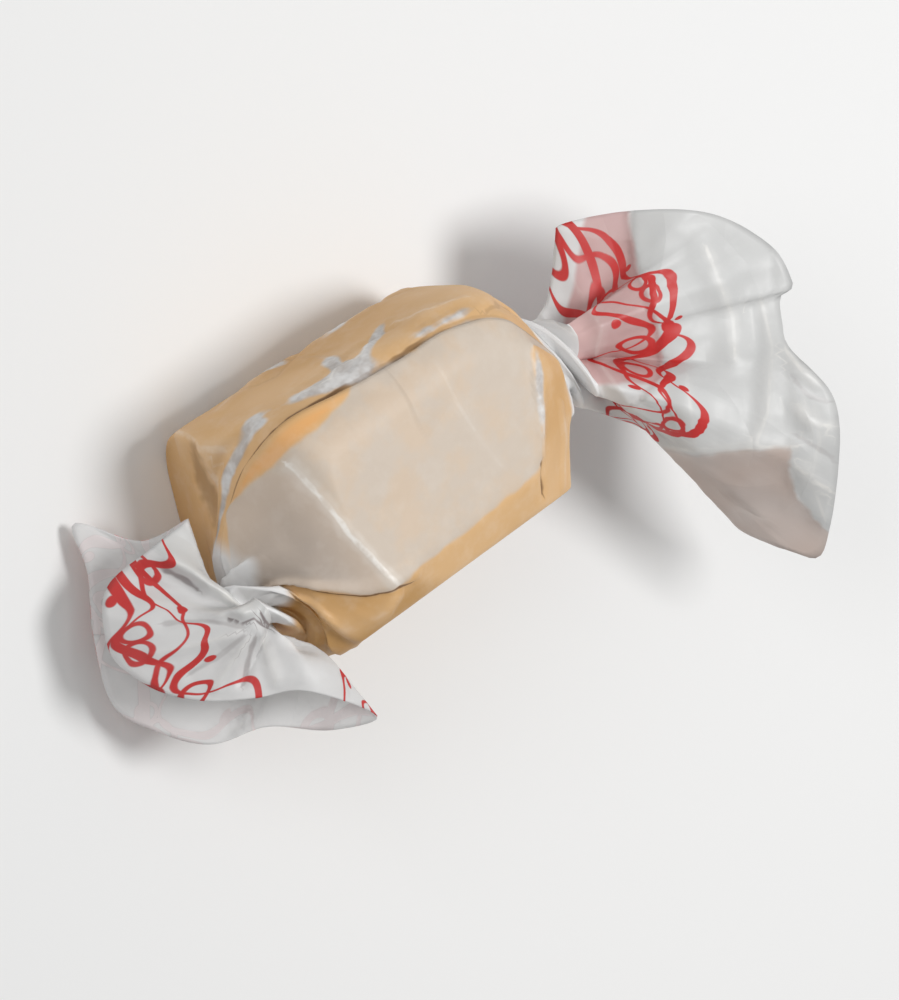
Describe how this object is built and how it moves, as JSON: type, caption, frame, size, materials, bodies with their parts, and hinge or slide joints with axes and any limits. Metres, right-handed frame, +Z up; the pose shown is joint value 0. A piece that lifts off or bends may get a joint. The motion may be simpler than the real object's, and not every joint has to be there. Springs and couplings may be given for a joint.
{
  "type": "salt water taffy",
  "caption": "Soft taffy sweet rolled in translucent waxed paper, with both ends twisted into flared fans.",
  "frame": {"origin": "on the ground, under the middle of the sweet, on the flat face that it rests on", "axes": "+X along the roll of the paper from one twist to the other, +Z up, +Y across"},
  "size_m": [0.0605, 0.0343, 0.0191],
  "materials": {
    "taffy": "soft caramel-coloured taffy, slightly waxy",
    "waxed_paper": "thin translucent white waxed paper, satin, with plain red printed strokes on the ends"
  },
  "bodies": {
    "root": {"taffy": "taffy", "wrapper": "waxed_paper"}
  },
  "joints": []
}
